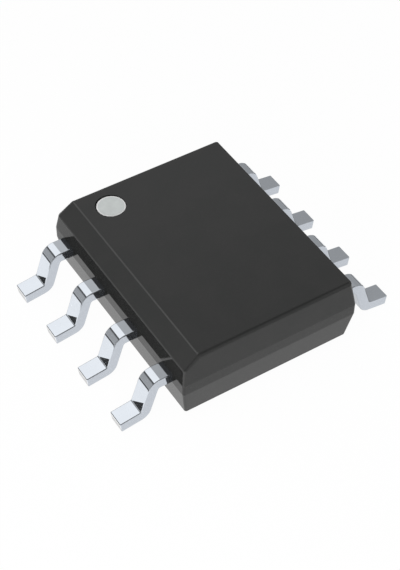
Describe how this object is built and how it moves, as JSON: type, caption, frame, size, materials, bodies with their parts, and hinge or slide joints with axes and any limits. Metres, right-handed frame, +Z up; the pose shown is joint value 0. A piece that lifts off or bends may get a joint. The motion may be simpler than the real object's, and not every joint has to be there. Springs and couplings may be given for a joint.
{
  "type": "small-outline integrated circuit package",
  "caption": "Flat drafted black moulding with a bevelled long edge and a round corner mark, on two rows of bent gull-wing leads for surface soldering.",
  "frame": {"origin": "under the middle of the moulding, on the plane that the toes of the leads stand on", "axes": "+X across the leads towards leads 5 to 8, +Y along the moulding towards lead 1 and the round mark, +Z up through the top face"},
  "size_m": [0.0062, 0.005, 0.0016],
  "materials": {
    "moulding_compound": "fine satin epoxy moulding compound, nearly black",
    "tinned_lead": "bright tin plating over copper alloy",
    "mark_ink": "flat pale grey marking ink",
    "bare_copper_alloy": "bare rolled copper alloy",
    "die_adhesive": "cured silver-filled epoxy",
    "silicon": "polished silicon with a passivation layer",
    "bond_gold": "drawn gold wire"
  },
  "bodies": {
    "root": {"mould_body": "moulding_compound", "pin_1_mark": "mark_ink", "lead_1": "tinned_lead", "lead_2": "tinned_lead", "lead_3": "tinned_lead", "lead_4": "tinned_lead", "lead_5": "tinned_lead", "lead_6": "tinned_lead", "lead_7": "tinned_lead", "lead_8": "tinned_lead", "die_paddle": "bare_copper_alloy", "die_attach": "die_adhesive", "silicon_die": "silicon", "bond_wire_1": "bond_gold", "bond_wire_2": "bond_gold", "bond_wire_3": "bond_gold", "bond_wire_4": "bond_gold", "bond_wire_5": "bond_gold", "bond_wire_6": "bond_gold", "bond_wire_7": "bond_gold", "bond_wire_8": "bond_gold"}
  },
  "joints": []
}
